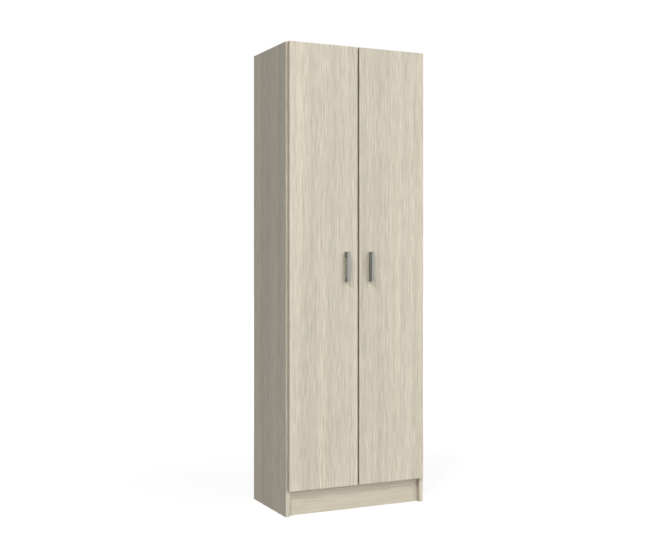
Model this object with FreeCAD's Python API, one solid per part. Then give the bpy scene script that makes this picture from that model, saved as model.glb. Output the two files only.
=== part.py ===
import FreeCAD, Part
import math
import os

# Tall two-door storage cabinet of wood-grain faced board, with cup hinges inside
# Frame: x to the right, y to the back, z up, in millimetres
# Origin: on the floor, under the middle of the whole cabinet's box

os.makedirs("parts", exist_ok=True)
V = FreeCAD.Vector

# Carcass sizes
cabinet_height = 1800.0
cabinet_width = 600.0
side_depth = 328.0
board = 16.0
edge_rounding = 1.0
plinth_height = 98.0
plinth_recess = 17.0
back_thickness = 3.0
back_inset = 3.0
back_joint_gap = 1.0

# Door sizes
door_thickness = 16.0
door_back_gap = 1.5
door_side_inset = 8.0
door_middle_gap = 7.0
door_floor_gap = 98.5

# Loose shelf sizes
shelf_end_gap = 1.0
shelf_front_setback = 24.0
shelf_back_gap = 2.0
loose_shelves_each_half = 2
pin_hole_radius = 2.5
pin_hole_depth = 9.0
pin_line_inset = 37.0
pin_pitch = 32.0
pin_tongue_length = 9.0
pin_tongue_half_width = 4.0
pin_tongue_thickness = 2.2
pin_seat_height = 2.5
pin_flange_thickness = 1.2
pin_flange_drop = 4.0
pin_web_half_thickness = 0.6

# Cam fittings and dowels
cam_radius = 7.4
cam_height = 12.0
cam_pocket_depth = 12.5
cam_from_end = 24.0
cam_edge_inset = 50.0
cam_slot_half_length = 4.0
cam_slot_half_width = 0.8
cam_slot_depth = 1.6
bolt_thread_radius = 2.45
bolt_thread_length = 10.5
bolt_body_radius = 3.45
bolt_neck_radius = 2.0
bolt_head_radius = 3.2
bolt_head_length = 5.0
bolt_head_play = 0.4
dowel_radius = 4.0
dowel_in_side = 10.0
dowel_in_panel = 20.0
dowel_from_cam = 32.0
plinth_dowel_inset = 30.0
hole_end_gap = 1.0
fit_gap = 0.05

# Nails of the back panels
nail_radius = 0.7
nail_head_radius = 2.2
nail_head_height = 0.8
nail_grip = 15.0
nail_pitch = 150.0
nail_corner_inset = 30.0
cross_nail_shares = (-0.6, -0.2, 0.2, 0.6)

# Handles, closed and highest towards the gap between the doors
handle_hole_spacing = 96.0
handle_height = 115.0
handle_width = 13.0
handle_reach = 27.0
handle_front_slope = 0.4
handle_front_thickness = 4.0
handle_wall_thickness = 3.0
handle_foot_length = 16.0
handle_corner_rounding = 3.0
handle_rounding = 1.5
handle_centre_height = 947.0
handle_from_door_edge = 49.0
handle_screw_radius = 1.95
handle_hole_play = 0.15
handle_screw_bite = 8.0
handle_screw_head_radius = 4.0
handle_screw_head_height = 2.4

# Cup hinges
hinges_per_door = 4
hinge_end_distance = 110.0
hinge_pin_hole_gap = 4.0
door_opening_angle = 95.0
cup_radius = 17.5
cup_wall = 0.8
cup_depth = 11.8
cup_bore_end_gap = 0.2
cup_edge_distance = 3.5
cup_flange_thickness = 1.0
cup_flange_rim = 0.5
cup_wing_half_length = 30.0
cup_wing_half_width = 6.0
cup_wing_offset = 6.0
cup_screw_spacing = 48.0
cup_screw_radius = 1.75
cup_screw_length = 11.0
cup_screw_head_radius = 3.4
cup_screw_head_height = 1.2
turn_axis_from_edge = 3.0
turn_axis_depth = 7.6
arm_pin_from_side = 13.0
arm_pin_forward = 8.6
arm_pin_radius = 1.25
arm_wall = 1.9
arm_half_height = 7.5
arm_length = 60.0
arm_head_radius = 3.2
arm_crank_front = 1.0
arm_crank_rear = 12.0
arm_spine_lead = 3.0
arm_spine_bend = 4.0
arm_ridge_gap = 0.2
arm_plate_gap = 1.0
arm_screw_inset = 7.0
cup_pin_from_edge = 7.4
cup_pin_radius = 1.1
link_half_height = 5.0
link_thickness = 2.4
link_bow = 1.8
link_side_play = 0.8
link_slot_end_play = 0.25
link_slot_wall = 1.1
link_eye_wall = 0.9
plate_thickness = 2.0
plate_half_height = 24.0
plate_half_width = 8.0
plate_ridge_half_height = 5.4
plate_ridge_height = 8.8
plate_ridge_length = 38.0
plate_screw_spacing = 32.0
plate_screw_radius = 2.2
plate_screw_length = 11.0
plate_screw_head_radius = 4.0
plate_screw_head_height = 1.4
arm_screw_radius = 1.9
arm_screw_head_radius = 3.6
arm_screw_head_height = 1.2
arm_screw_length = 7.0

# Door bumpers
bumper_radius = 4.0
bumper_height = 1.3
bumper_from_door_edge = 12.0

# Angle bracket that ties the cabinet to a wall
bracket_thickness = 2.0
bracket_leg = 40.0
bracket_width = 30.0
bracket_wall_hole_radius = 3.25
bracket_wall_hole_drop = 26.0
bracket_screw_radius = 1.9
bracket_screw_length = 12.0
bracket_screw_head_radius = 3.8
bracket_screw_head_height = 1.6
bracket_screw_half_spacing = 9.0

# Places worked out from the sizes
half_width = cabinet_width / 2
overall_depth = (
    handle_reach + door_thickness + door_back_gap + side_depth + back_thickness + nail_head_height
)
front_y = -overall_depth / 2 + handle_reach + door_thickness + door_back_gap
rear_y = front_y + side_depth
inner_x = half_width - board
door_back_y = front_y - door_back_gap
door_front_y = door_back_y - door_thickness
door_outer_x = half_width - door_side_inset
door_inner_x = door_middle_gap / 2
bottom_z = plinth_height
bottom_top_z = bottom_z + board
top_z = cabinet_height - board
fixed_shelf_z = (bottom_top_z + top_z) / 2 - board / 2
plinth_front_y = front_y + plinth_recess


# Plain solids

def block(x0, x1, y0, y1, z0, z1):
    return Part.makeBox(x1 - x0, y1 - y0, z1 - z0, V(x0, y0, z0))


def rod(start, direction, radius, length):
    return Part.makeCylinder(radius, length, start, direction)


def plate_from_outline(points, z0, z1):
    corners = [V(x, y, z0) for x, y in points]
    wire = Part.makePolygon(corners + corners[:1])
    return Part.Face(wire).extrude(V(0, 0, z1 - z0))


def joined(first, others):
    return first.fuse(others).removeSplitter()


def cut_all(solid, tools):
    return solid.cut(tools) if tools else solid


def middle_of(edge):
    return edge.valueAt((edge.FirstParameter + edge.LastParameter) / 2)


def eased_front(panel, y, along):
    edges = []
    for edge in panel.Edges:
        way = edge.tangentAt(edge.FirstParameter)
        if abs(middle_of(edge).y - y) < fit_gap and abs(way.dot(along)) > 1 - fit_gap:
            edges.append(edge)
    return panel.makeFillet(edge_rounding, edges)


def mirrored(solid):
    return solid.mirror(V(0, 0, 0), V(1, 0, 0))


def both_sides(solids):
    return solids + [mirrored(solid) for solid in solids]


def write(name, solids):
    shape = solids[0] if len(solids) == 1 else Part.makeCompound(solids)
    shape.exportStep("parts/" + name + ".step")


LEFT = V(-1, 0, 0)
RIGHT = V(1, 0, 0)
BACK = V(0, 1, 0)
FRONT = V(0, -1, 0)
UP = V(0, 0, 1)
DOWN = V(0, 0, -1)

# Rows where the cross panels meet the side panels
cam_rows = [front_y + cam_edge_inset, rear_y - cam_edge_inset]
dowel_rows = [cam_rows[0] + dowel_from_cam, cam_rows[1] - dowel_from_cam]
cross_panel_floors = {
    "bottom_panel": bottom_z,
    "fixed_shelf": fixed_shelf_z,
    "top_panel": top_z,
}
plinth_middle_y = plinth_front_y + board / 2
plinth_dowel_heights = [plinth_dowel_inset, plinth_height - plinth_dowel_inset]

# Underside heights of the loose shelves, spaced evenly in each half
shelf_floors = []
for half_floor in (bottom_top_z, fixed_shelf_z + board):
    free_height = (top_z - bottom_top_z - board) / 2 - loose_shelves_each_half * board
    step = free_height / (loose_shelves_each_half + 1)
    for number in range(1, loose_shelves_each_half + 1):
        shelf_floors.append(half_floor + number * step + (number - 1) * board)
pin_lines = [front_y + pin_line_inset, rear_y - pin_line_inset]

# Hinge heights: near both ends of the door, and between a pin row and the fixed shelf
plate_row_distance = pin_hole_radius + hinge_pin_hole_gap + plate_half_height
shelf_below = max(floor for floor in shelf_floors if floor < fixed_shelf_z)
shelf_above = min(floor for floor in shelf_floors if floor > fixed_shelf_z)
hinge_heights = [
    door_floor_gap + hinge_end_distance,
    shelf_below - pin_seat_height + pin_pitch + plate_row_distance,
    shelf_above - pin_seat_height - pin_pitch - plate_row_distance,
    cabinet_height - hinge_end_distance,
][:hinges_per_door]
plate_line_y = front_y + pin_line_inset
plate_screw_heights = []
for height in hinge_heights:
    plate_screw_heights.append(height - plate_screw_spacing / 2)
    plate_screw_heights.append(height + plate_screw_spacing / 2)

# Nail places on the back: along both side panels, then along the cross panels
back_low_z = bottom_z + back_inset
back_high_z = cabinet_height - back_inset
back_split_z = fixed_shelf_z + board / 2
side_nail_count = int((back_high_z - back_low_z - 2 * nail_corner_inset) // nail_pitch) + 1
side_nail_step = (back_high_z - back_low_z - 2 * nail_corner_inset) / side_nail_count
nail_points = []
for number in range(side_nail_count + 1):
    height = back_low_z + nail_corner_inset + number * side_nail_step
    if abs(height - back_split_z) < board:
        height = back_split_z + board
    nail_points.append((-half_width + board / 2, height))
    nail_points.append((half_width - board / 2, height))
for share in cross_nail_shares:
    x = share * inner_x
    nail_points.append((x, bottom_z + board / 2))
    nail_points.append((x, back_split_z - board / 4))
    nail_points.append((x, back_split_z + board / 4))
    nail_points.append((x, top_z + board / 2))


def nail_holes():
    start = rear_y - nail_grip - hole_end_gap
    length = nail_grip + hole_end_gap + back_thickness + hole_end_gap
    return [rod(V(x, start, z), BACK, nail_radius + fit_gap, length) for x, z in nail_points]


# Side panels, drilled on the inner face, with their banded front edges eased

def left_side_panel():
    panel = block(-half_width, -inner_x, front_y, rear_y, 0, cabinet_height)
    panel = eased_front(panel, front_y, UP)
    face_x = -inner_x
    holes = []
    for floor in cross_panel_floors.values():
        for y in cam_rows:
            start = V(face_x, y, floor + board / 2)
            holes.append(rod(start, LEFT, bolt_thread_radius + fit_gap, bolt_thread_length + fit_gap))
        for y in dowel_rows:
            start = V(face_x, y, floor + board / 2)
            holes.append(rod(start, LEFT, dowel_radius + fit_gap, dowel_in_side + hole_end_gap))
    for z in plinth_dowel_heights:
        start = V(face_x, plinth_middle_y, z)
        holes.append(rod(start, LEFT, dowel_radius + fit_gap, dowel_in_side + hole_end_gap))
    for floor in shelf_floors:
        for row in (-1, 0, 1):
            for y in pin_lines:
                start = V(face_x, y, floor - pin_seat_height + row * pin_pitch)
                holes.append(rod(start, LEFT, pin_hole_radius, pin_hole_depth))
    for z in plate_screw_heights:
        start = V(face_x, plate_line_y, z)
        holes.append(rod(start, LEFT, plate_screw_radius + fit_gap, plate_screw_length + fit_gap))
    return cut_all(panel, holes + nail_holes())


# Cross panels: bottom, fixed shelf and top, with their cam pockets

def cross_panel(floor, cams_on_top):
    panel = block(-inner_x, inner_x, front_y, rear_y, floor, floor + board)
    panel = eased_front(panel, front_y, RIGHT)
    middle = floor + board / 2
    holes = []
    for x, inwards in ((-inner_x, 1), (inner_x, -1)):
        way = RIGHT if inwards > 0 else LEFT
        for y in cam_rows:
            holes.append(rod(V(x, y, middle), way, bolt_body_radius + fit_gap, cam_from_end))
            cam_x = x + inwards * cam_from_end
            pocket_start = floor + board if cams_on_top else floor
            pocket_way = DOWN if cams_on_top else UP
            pocket = rod(V(cam_x, y, pocket_start), pocket_way, cam_radius + 2 * fit_gap, cam_pocket_depth)
            holes.append(pocket)
        for y in dowel_rows:
            start = V(x, y, middle)
            holes.append(rod(start, way, dowel_radius + fit_gap, dowel_in_panel + hole_end_gap))
    if floor == top_z:
        for x in (-bracket_screw_half_spacing, bracket_screw_half_spacing):
            start = V(x, rear_y - bracket_leg / 2, floor)
            holes.append(rod(start, UP, bracket_screw_radius + fit_gap, bracket_screw_length))
    return cut_all(panel, holes + nail_holes())


def left_cam_locks():
    cams = []
    for floor in cross_panel_floors.values():
        cams_on_top = floor == top_z
        base = floor + board - cam_pocket_depth if cams_on_top else floor + cam_pocket_depth - cam_height
        face = base + cam_height if cams_on_top else base
        inward = -1 if cams_on_top else 1
        for y in cam_rows:
            x = -inner_x + cam_from_end
            cam = rod(V(x, y, base), UP, cam_radius, cam_height)
            reach = bolt_head_length / 2 + 2 * hole_end_gap
            start = V(x + reach, y, floor + board / 2)
            channel = rod(start, LEFT, bolt_head_radius + bolt_head_play, reach + cam_radius + hole_end_gap)
            slot_low = min(face, face + inward * cam_slot_depth)
            slot_high = slot_low + cam_slot_depth
            long = cam_slot_half_length
            thin = cam_slot_half_width
            slots = [
                block(x - long, x + long, y - thin, y + thin, slot_low, slot_high),
                block(x - thin, x + thin, y - long, y + long, slot_low, slot_high),
            ]
            cams.append(cam.cut([channel] + slots))
    return cams


def left_cam_bolts():
    bolts = []
    for floor in cross_panel_floors.values():
        for y in cam_rows:
            axis = V(-inner_x, y, floor + board / 2)
            head_start = cam_from_end - bolt_head_length / 2
            neck_start = cam_from_end - cam_radius - hole_end_gap
            thread = rod(axis, LEFT, bolt_thread_radius, bolt_thread_length)
            body = rod(axis, RIGHT, bolt_body_radius, neck_start)
            neck = rod(axis + V(neck_start, 0, 0), RIGHT, bolt_neck_radius, head_start - neck_start)
            head = rod(axis + V(head_start, 0, 0), RIGHT, bolt_head_radius, bolt_head_length)
            bolts.append(joined(thread, [body, neck, head]))
    return bolts


def left_dowels():
    dowels = []
    length = dowel_in_side + dowel_in_panel
    x = -inner_x - dowel_in_side
    for floor in cross_panel_floors.values():
        for y in dowel_rows:
            dowels.append(rod(V(x, y, floor + board / 2), RIGHT, dowel_radius, length))
    for z in plinth_dowel_heights:
        dowels.append(rod(V(x, plinth_middle_y, z), RIGHT, dowel_radius, length))
    return dowels


# Plinth board between the side panels, set back from the doors

def plinth_board():
    rear = plinth_front_y + board
    panel = block(-inner_x, inner_x, plinth_front_y, rear, 0, plinth_height)
    holes = []
    for z in plinth_dowel_heights:
        for x, way in ((-inner_x, RIGHT), (inner_x, LEFT)):
            start = V(x, plinth_middle_y, z)
            holes.append(rod(start, way, dowel_radius + fit_gap, dowel_in_panel + hole_end_gap))
    return cut_all(panel, holes)


# Back panels: two thin sheets that meet on the fixed shelf

def wall_hole():
    start = V(0, rear_y - bracket_thickness, top_z - bracket_wall_hole_drop)
    return rod(start, BACK, bracket_wall_hole_radius, bracket_thickness + back_thickness)


def back_panel(low, high):
    x = half_width - back_inset
    sheet = block(-x, x, rear_y, rear_y + back_thickness, low, high)
    return sheet.cut(nail_holes() + [wall_hole()])


def back_panel_nails():
    nails = []
    length = nail_grip + back_thickness
    for x, z in nail_points:
        shank = rod(V(x, rear_y - nail_grip, z), BACK, nail_radius, length)
        head = rod(V(x, rear_y + back_thickness, z), BACK, nail_head_radius, nail_head_height)
        nails.append(joined(shank, [head]))
    return nails


# Loose shelves and the pins under them

def loose_shelf(floor):
    x = inner_x - shelf_end_gap
    shelf_front_y = front_y + shelf_front_setback
    shelf = block(-x, x, shelf_front_y, rear_y - shelf_back_gap, floor, floor + board)
    return eased_front(shelf, shelf_front_y, RIGHT)


def left_shelf_pins():
    pins = []
    for floor in shelf_floors:
        for y in pin_lines:
            centre = V(-inner_x, y, floor - pin_seat_height)
            shank = rod(centre, LEFT, pin_hole_radius - fit_gap, pin_hole_depth - hole_end_gap)
            low_y = y - pin_tongue_half_width
            high_y = y + pin_tongue_half_width
            flange_x = -inner_x + pin_flange_thickness
            flange_low = centre.z - pin_flange_drop
            flange = block(-inner_x, flange_x, low_y, high_y, flange_low, floor)
            tongue_x = -inner_x + pin_tongue_length
            tongue_low = floor - pin_tongue_thickness
            tongue = block(-inner_x, tongue_x, low_y, high_y, tongue_low, floor)
            web_y = y - pin_web_half_thickness
            web_corners = [
                V(-inner_x, web_y, tongue_low),
                V(tongue_x, web_y, tongue_low),
                V(-inner_x, web_y, flange_low),
            ]
            web_face = Part.Face(Part.makePolygon(web_corners + web_corners[:1]))
            web = web_face.extrude(V(0, 2 * pin_web_half_thickness, 0))
            pins.append(joined(shank, [flange, tongue, web]))
    return pins


# Door with its cup bores, handle holes and screw holes

cup_x = -door_outer_x + cup_edge_distance + cup_radius
wing_x = cup_x + cup_wing_offset
handle_x = -door_inner_x - handle_from_door_edge
handle_screw_heights = [
    handle_centre_height - handle_hole_spacing / 2,
    handle_centre_height + handle_hole_spacing / 2,
]
cup_screw_heights = []
for height in hinge_heights:
    cup_screw_heights.append(height - cup_screw_spacing / 2)
    cup_screw_heights.append(height + cup_screw_spacing / 2)


def left_door():
    panel = block(
        -door_outer_x, -door_inner_x, door_front_y, door_back_y, door_floor_gap, cabinet_height
    )
    face_edges = []
    for edge in panel.Edges:
        if abs(abs(middle_of(edge).y - (door_front_y + door_back_y) / 2) - door_thickness / 2) < fit_gap:
            face_edges.append(edge)
    panel = panel.makeFillet(edge_rounding, face_edges)
    holes = []
    for z in hinge_heights:
        start = V(cup_x, door_back_y, z)
        holes.append(rod(start, FRONT, cup_radius + fit_gap, cup_depth + cup_bore_end_gap))
    for z in cup_screw_heights:
        start = V(wing_x, door_back_y, z)
        holes.append(rod(start, FRONT, cup_screw_radius + fit_gap, cup_screw_length + fit_gap))
    for z in handle_screw_heights:
        start = V(handle_x, door_back_y, z)
        holes.append(rod(start, FRONT, handle_screw_radius + handle_hole_play, door_thickness))
    return panel.cut(holes)


# Handle: a sloping front on two feet, with a wall on the side of the door gap
# The fingers reach in from the hinge side, where the front stands closer to the door

rounded_off = handle_rounding * (handle_front_slope + math.hypot(handle_front_slope, 1) - 1)
handle_corner_reach = handle_reach + rounded_off


def handle_slice(low_x, high_x, low_z, high_z, behind_front):
    outline = [(low_x, door_front_y), (high_x, door_front_y)]
    for x in (high_x, low_x):
        reach = handle_corner_reach - (handle_x + handle_width / 2 - x) * handle_front_slope
        outline.append((x, door_front_y - reach + behind_front))
    return plate_from_outline(outline, low_z, high_z)


def left_handle():
    low_x = handle_x - handle_width / 2
    high_x = handle_x + handle_width / 2
    low_z = handle_centre_height - handle_height / 2
    high_z = handle_centre_height + handle_height / 2
    body = handle_slice(low_x, high_x, low_z, high_z, 0)
    end_edges = []
    for edge in body.Edges:
        middle = middle_of(edge)
        if abs(middle.x - handle_x) < fit_gap and middle.y < door_front_y - handle_reach / 2:
            end_edges.append(edge)
    body = body.makeFillet(handle_corner_rounding, end_edges)
    side_edges = []
    for edge in body.Edges:
        middle = middle_of(edge)
        on_side = abs(middle.x - handle_x) > fit_gap
        if on_side and middle.y < door_front_y - handle_reach / 2:
            side_edges.append(edge)
    body = body.makeFillet(handle_rounding, side_edges)
    hollow = handle_slice(
        low_x, high_x - handle_wall_thickness,
        low_z + handle_foot_length, high_z - handle_foot_length, handle_front_thickness,
    )
    body = body.cut(hollow)
    holes = []
    for z in handle_screw_heights:
        start = V(handle_x, door_front_y, z)
        holes.append(rod(start, FRONT, handle_screw_radius + fit_gap, handle_screw_bite + hole_end_gap))
    return body.cut(holes)


def left_handle_screws():
    screws = []
    for z in handle_screw_heights:
        start = V(handle_x, door_back_y, z)
        shank = rod(start, FRONT, handle_screw_radius, door_thickness + handle_screw_bite)
        head = rod(start, BACK, handle_screw_head_radius, handle_screw_head_height)
        screws.append(joined(shank, [head]))
    return screws


def left_bumpers():
    x = -door_inner_x - bumper_from_door_edge
    heights = (bottom_z + board / 2, top_z + board / 2)
    return [rod(V(x, door_back_y, z), BACK, bumper_radius, bumper_height) for z in heights]


# Cup hinge geometry, seen from above
# The door turns about a line near its own edge, as the links of such a hinge carry it
# The link joins a pin in the cup to a pin in the arm's head, where it has a slot

turn_x = -door_outer_x + turn_axis_from_edge
turn_y = door_back_y - turn_axis_depth
arm_pin_x = -inner_x + arm_pin_from_side
arm_pin_y = front_y - arm_pin_forward
arm_pin_angle = math.degrees(math.atan2(arm_pin_y - turn_y, arm_pin_x - turn_x))
arm_pin_distance = math.hypot(arm_pin_x - turn_x, arm_pin_y - turn_y)
cup_pin_angle = arm_pin_angle + door_opening_angle / 2
cup_pin_x = -door_outer_x + cup_pin_from_edge
cup_pin_distance = (cup_pin_x - turn_x) / math.cos(math.radians(cup_pin_angle))
cup_pin_y = turn_y + cup_pin_distance * math.sin(math.radians(cup_pin_angle))
link_length = math.hypot(arm_pin_x - cup_pin_x, arm_pin_y - cup_pin_y)
link_angle = math.degrees(math.atan2(arm_pin_y - cup_pin_y, arm_pin_x - cup_pin_x))
link_travel = link_length - (arm_pin_distance - cup_pin_distance)
link_turn = 2 * (cup_pin_angle - link_angle)
link_ratio = link_turn / door_opening_angle


def at_hinges(solid):
    copies = []
    for z in hinge_heights:
        copy = solid.copy()
        copy.translate(V(0, 0, z))
        copies.append(copy)
    return copies


# Hinge cup, pressed into the door's bore and held by two screws
# The pin's ends sit in the cup's wall, and stay inside its outer face

cup_pin_reach = abs(cup_pin_x - cup_x) + cup_pin_radius
cup_pin_half_length = math.sqrt((cup_radius - fit_gap) ** 2 - cup_pin_reach ** 2)


def left_hinge_cups():
    flange_y = door_back_y + cup_flange_thickness
    shell = rod(V(cup_x, flange_y, 0), FRONT, cup_radius, cup_depth + cup_flange_thickness)
    rim = rod(V(cup_x, door_back_y, 0), BACK, cup_radius + cup_flange_rim, cup_flange_thickness)
    half = cup_wing_half_length - cup_wing_half_width
    wing = block(
        wing_x - cup_wing_half_width, wing_x + cup_wing_half_width, door_back_y, flange_y, -half, half
    )
    ends = []
    for z in (-half, half):
        ends.append(rod(V(wing_x, door_back_y, z), BACK, cup_wing_half_width, cup_flange_thickness))
    cup = joined(shell, [rim, wing] + ends)
    cavity = rod(
        V(cup_x, flange_y, 0), FRONT, cup_radius - cup_wall, cup_depth + cup_flange_thickness - cup_wall
    )
    holes = [cavity]
    for z in (-cup_screw_spacing / 2, cup_screw_spacing / 2):
        holes.append(rod(V(wing_x, door_back_y, z), BACK, cup_screw_radius + fit_gap, cup_flange_thickness))
    pin_start = V(cup_pin_x, cup_pin_y, -cup_radius)
    holes.append(rod(pin_start, UP, cup_pin_radius + fit_gap, 2 * cup_radius))
    return at_hinges(cup.cut(holes))


def left_cup_pins():
    start = V(cup_pin_x, cup_pin_y, -cup_pin_half_length)
    return at_hinges(rod(start, UP, cup_pin_radius, 2 * cup_pin_half_length))


def left_cup_screws():
    screws = []
    head_y = door_back_y + cup_flange_thickness
    for z in cup_screw_heights:
        start = V(wing_x, head_y, z)
        shank = rod(start, FRONT, cup_screw_radius, cup_screw_length + cup_flange_thickness)
        head = rod(start, BACK, cup_screw_head_radius, cup_screw_head_height)
        screws.append(joined(shank, [head]))
    return screws


# Hinge link: a bowed bar from the cup's pin to the arm's pin

def left_hinge_links():
    half = link_thickness / 2
    slot_start = link_length - link_travel - link_slot_end_play
    slot_end = link_length + link_slot_end_play
    slot_half = arm_pin_radius + link_side_play
    low = V(0, 0, -link_half_height)
    tall = 2 * link_half_height
    arcs = []
    for offset in (-half, half):
        points = (
            V(0, offset, 0),
            V(slot_start / 2, offset - link_bow, 0),
            V(slot_start, offset, 0),
        )
        arcs.append(Part.Arc(*points).toShape())
    ends = []
    for x in (0, slot_start):
        ends.append(Part.LineSegment(V(x, -half, 0), V(x, half, 0)).toShape())
    face = Part.Face(Part.Wire(Part.__sortEdges__(arcs + ends)))
    face.translate(low)
    bar = face.extrude(V(0, 0, tall))
    eye = rod(low, UP, cup_pin_radius + link_eye_wall, tall)
    outer_half = slot_half + link_slot_wall
    head = [
        rod(low + V(slot_start, 0, 0), UP, outer_half, tall),
        rod(low + V(slot_end, 0, 0), UP, outer_half, tall),
        block(slot_start, slot_end, -outer_half, outer_half, -link_half_height, link_half_height),
    ]
    link = joined(bar, [eye] + head)
    slot = [
        rod(low + V(slot_start, 0, 0), UP, slot_half, tall),
        rod(low + V(slot_end, 0, 0), UP, slot_half, tall),
        block(slot_start, slot_end, -slot_half, slot_half, -link_half_height, link_half_height),
        rod(low, UP, cup_pin_radius + fit_gap, tall),
    ]
    link = link.cut(slot).removeSplitter()
    link.rotate(V(0, 0, 0), UP, link_angle)
    link.translate(V(cup_pin_x, cup_pin_y, 0))
    return at_hinges(link)


# Hinge arm: a channel that clips over the plate's ridge and cranks forward into the cup

ridge_top_x = -inner_x + plate_thickness + plate_ridge_height
arm_inner_x = ridge_top_x + arm_ridge_gap
arm_outer_x = arm_inner_x + arm_wall
arm_low_x = -inner_x + plate_thickness + arm_plate_gap
arm_rear_y = front_y + arm_length
arm_crank_y = front_y + arm_crank_rear
ridge_front_y = plate_line_y - plate_ridge_length / 2
ridge_rear_y = plate_line_y + plate_ridge_length / 2
arm_screw_lines = [ridge_front_y + arm_screw_inset, ridge_rear_y - arm_screw_inset]


def left_hinge_arms():
    head_low_x = arm_pin_x - arm_head_radius
    head_high_x = arm_pin_x + arm_head_radius
    cheek_outline = [
        (head_low_x, arm_pin_y),
        (head_low_x, front_y + arm_crank_front),
        (arm_low_x, arm_crank_y),
        (arm_low_x, arm_rear_y),
        (arm_outer_x, arm_rear_y),
        (arm_outer_x, arm_crank_y),
        (head_high_x, front_y + arm_spine_bend),
        (head_high_x, arm_pin_y),
    ]
    spine_outline = [
        (head_high_x - arm_wall, front_y - arm_spine_lead),
        (head_high_x - arm_wall, front_y + arm_spine_bend),
        (arm_inner_x, arm_crank_y),
        (arm_inner_x, arm_rear_y),
        (arm_outer_x, arm_rear_y),
        (arm_outer_x, arm_crank_y),
        (head_high_x, front_y + arm_spine_bend),
        (head_high_x, front_y - arm_spine_lead),
    ]
    pieces = []
    for low in (-arm_half_height, arm_half_height - arm_wall):
        pieces.append(plate_from_outline(cheek_outline, low, low + arm_wall))
        pieces.append(rod(V(arm_pin_x, arm_pin_y, low), UP, arm_head_radius, arm_wall))
    spine = plate_from_outline(spine_outline, -arm_half_height, arm_half_height)
    arm = joined(spine, pieces)
    pin_start = V(arm_pin_x, arm_pin_y, -arm_half_height)
    holes = [rod(pin_start, UP, arm_pin_radius + fit_gap, 2 * arm_half_height)]
    for y in arm_screw_lines:
        holes.append(rod(V(arm_inner_x, y, 0), RIGHT, arm_screw_radius + fit_gap, arm_wall))
    return at_hinges(arm.cut(holes))


def left_arm_pins():
    start = V(arm_pin_x, arm_pin_y, -arm_half_height)
    return at_hinges(rod(start, UP, arm_pin_radius, 2 * arm_half_height))


def left_arm_screws():
    screws = []
    for y in arm_screw_lines:
        start = V(arm_outer_x, y, 0)
        shank = rod(start, LEFT, arm_screw_radius, arm_screw_length)
        head = rod(start, RIGHT, arm_screw_head_radius, arm_screw_head_height)
        screws += at_hinges(joined(shank, [head]))
    return screws


# Hinge plate on the side panel, with the ridge that the arm clips over

def left_hinge_plates():
    face_x = -inner_x
    low_y = plate_line_y - plate_half_width
    high_y = plate_line_y + plate_half_width
    base = block(
        face_x, face_x + plate_thickness, low_y, high_y, -plate_half_height, plate_half_height
    )
    ridge = block(
        face_x, ridge_top_x, ridge_front_y, ridge_rear_y,
        -plate_ridge_half_height, plate_ridge_half_height,
    )
    plate = joined(base, [ridge])
    holes = []
    for z in (-plate_screw_spacing / 2, plate_screw_spacing / 2):
        start = V(face_x, plate_line_y, z)
        holes.append(rod(start, RIGHT, plate_screw_radius + fit_gap, plate_thickness))
    for y in arm_screw_lines:
        depth = arm_screw_length - arm_wall
        holes.append(rod(V(ridge_top_x, y, 0), LEFT, arm_screw_radius + fit_gap, depth))
    return at_hinges(plate.cut(holes))


def left_plate_screws():
    screws = []
    for z in plate_screw_heights:
        start = V(-inner_x + plate_thickness, plate_line_y, z)
        shank = rod(start, LEFT, plate_screw_radius, plate_screw_length + plate_thickness)
        head = rod(start, RIGHT, plate_screw_head_radius, plate_screw_head_height)
        screws.append(joined(shank, [head]))
    return screws


# Angle bracket under the top panel, with the hole for the screw into the wall

def wall_bracket():
    low_y = rear_y - bracket_leg
    half = bracket_width / 2
    flat = block(-half, half, low_y, rear_y, top_z - bracket_thickness, top_z)
    upright = block(-half, half, rear_y - bracket_thickness, rear_y, top_z - bracket_leg, top_z)
    holes = [wall_hole()]
    for x in (-bracket_screw_half_spacing, bracket_screw_half_spacing):
        start = V(x, rear_y - bracket_leg / 2, top_z - bracket_thickness)
        holes.append(rod(start, UP, bracket_screw_radius + fit_gap, bracket_thickness))
    return joined(flat, [upright]).cut(holes)


def wall_bracket_screws():
    screws = []
    for x in (-bracket_screw_half_spacing, bracket_screw_half_spacing):
        start = V(x, rear_y - bracket_leg / 2, top_z - bracket_thickness)
        length = bracket_thickness + bracket_screw_length - hole_end_gap
        shank = rod(start, UP, bracket_screw_radius, length)
        head = rod(start, DOWN, bracket_screw_head_radius, bracket_screw_head_height)
        screws.append(joined(shank, [head]))
    return screws


# Carcass
side = left_side_panel()
write("side_panel_left", [side])
write("side_panel_right", [mirrored(side)])
write("top_panel", [cross_panel(top_z, True)])
write("fixed_shelf", [cross_panel(fixed_shelf_z, False)])
write("bottom_panel", [cross_panel(bottom_z, False)])
write("plinth_board", [plinth_board()])
write("back_panel_lower", [back_panel(back_low_z, back_split_z - back_joint_gap / 2)])
write("back_panel_upper", [back_panel(back_split_z + back_joint_gap / 2, back_high_z)])
write("back_panel_nails", back_panel_nails())
write("cam_locks", both_sides(left_cam_locks()))
write("cam_bolts", both_sides(left_cam_bolts()))
write("wooden_dowels", both_sides(left_dowels()))
write("wall_bracket", [wall_bracket()])
write("wall_bracket_screws", wall_bracket_screws())

# Loose shelves
for number, floor in enumerate(shelf_floors, start=1):
    write("loose_shelf_" + str(number), [loose_shelf(floor)])
write("shelf_pins", both_sides(left_shelf_pins()))

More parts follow.
